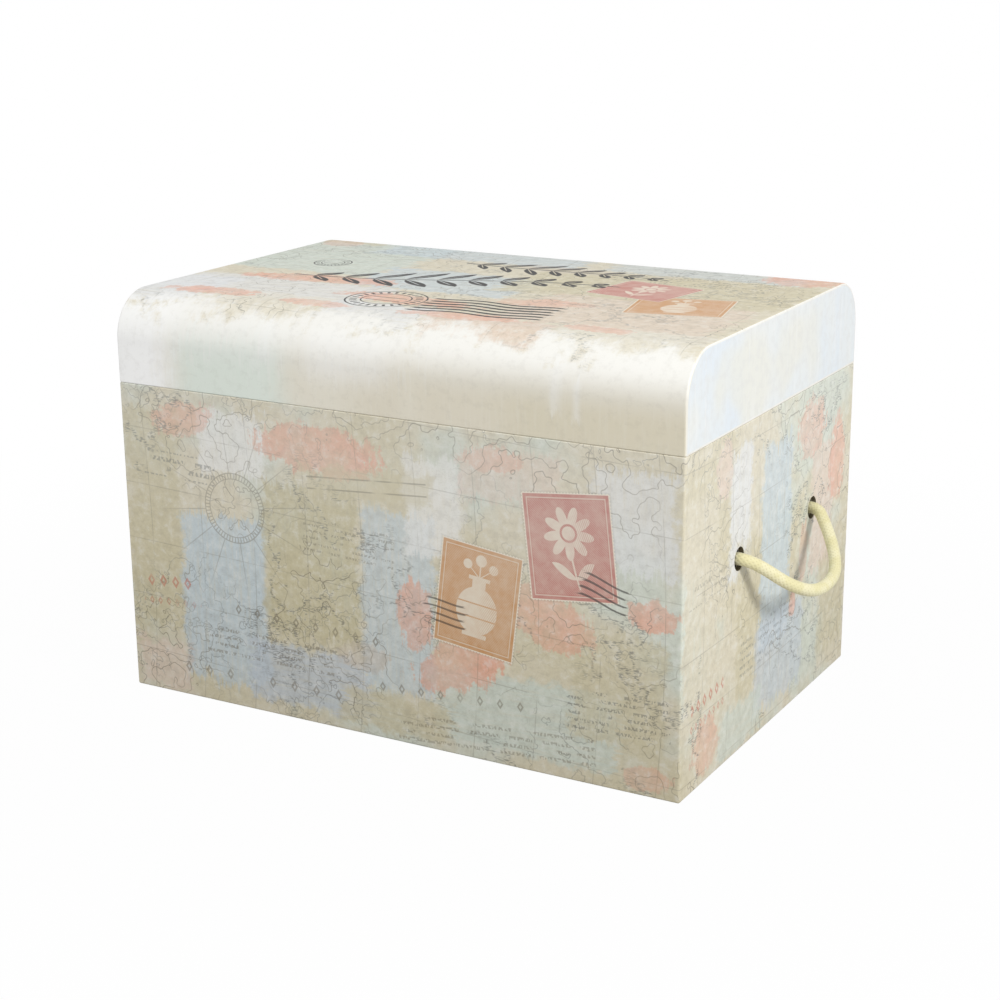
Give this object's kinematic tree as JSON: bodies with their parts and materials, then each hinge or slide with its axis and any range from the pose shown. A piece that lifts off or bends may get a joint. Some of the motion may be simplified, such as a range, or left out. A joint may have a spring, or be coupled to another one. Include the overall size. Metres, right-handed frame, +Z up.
{
  "type": "storage trunk",
  "caption": "Lidded keepsake storage trunk of paper-covered board, with a hinged round-edged lid and a rope handle on each end.",
  "frame": {"origin": "on the surface that the trunk stands on, under the middle of the closed trunk", "axes": "+X to the trunk's right along its length, -Y out of its front, +Z up"},
  "size_m": [0.4776, 0.272, 0.267],
  "materials": {
    "greyboard": "matt grey board with a fibrous face",
    "gummed_tape": "matt brown kraft tape",
    "printed_paper": "satin printed paper, soft khaki, pale blue, coral and mint",
    "lining_paper": "plain matt cream paper",
    "base_paper": "plain uncoated paper",
    "cotton_rope": "soft braided cream-yellow cord"
  },
  "bodies": {
    "trunk_body": {"base_sheet": "base_paper", "base_board": "greyboard", "front_wall_board": "greyboard", "rear_wall_board": "greyboard", "left_wall_board": "greyboard", "right_wall_board": "greyboard", "corner_stay_tapes": "gummed_tape", "body_wrap": "printed_paper", "wall_lining": "lining_paper", "floor_pad": "lining_paper", "hinge_strip_lower": "lining_paper", "front_collar_board": "lining_paper", "left_collar_board": "lining_paper", "right_collar_board": "lining_paper", "right_front_rope_end": "cotton_rope", "right_rear_rope_end": "cotton_rope", "left_front_rope_end": "cotton_rope", "left_rear_rope_end": "cotton_rope"},
    "lid": {"lid_shell_board": "greyboard", "lid_left_end_board": "greyboard", "lid_right_end_board": "greyboard", "lid_corner_tapes": "gummed_tape", "lid_wrap": "printed_paper", "lid_left_end_wrap": "printed_paper", "lid_right_end_wrap": "printed_paper", "lid_lining": "lining_paper", "hinge_strip_upper": "lining_paper"},
    "right_rope_handle": {"right_rope_loop": "cotton_rope"},
    "left_rope_handle": {"left_rope_loop": "cotton_rope"}
  },
  "joints": [
    {"name": "lid_hinge", "type": "hinge", "parent": "trunk_body", "child": "lid", "pos_m": [0, 0.136, 0.209], "axis": [-1, 0, 0], "range_deg": [0, 110]},
    {"name": "right_handle_swing", "type": "hinge", "parent": "trunk_body", "child": "right_rope_handle", "pos_m": [0.2043, 0.0055, 0.127], "axis": [0, -1, 0], "range_deg": [0, 120]},
    {"name": "left_handle_swing", "type": "hinge", "parent": "trunk_body", "child": "left_rope_handle", "pos_m": [-0.2043, 0.0055, 0.127], "axis": [0, 1, 0], "range_deg": [0, 120]}
  ]
}
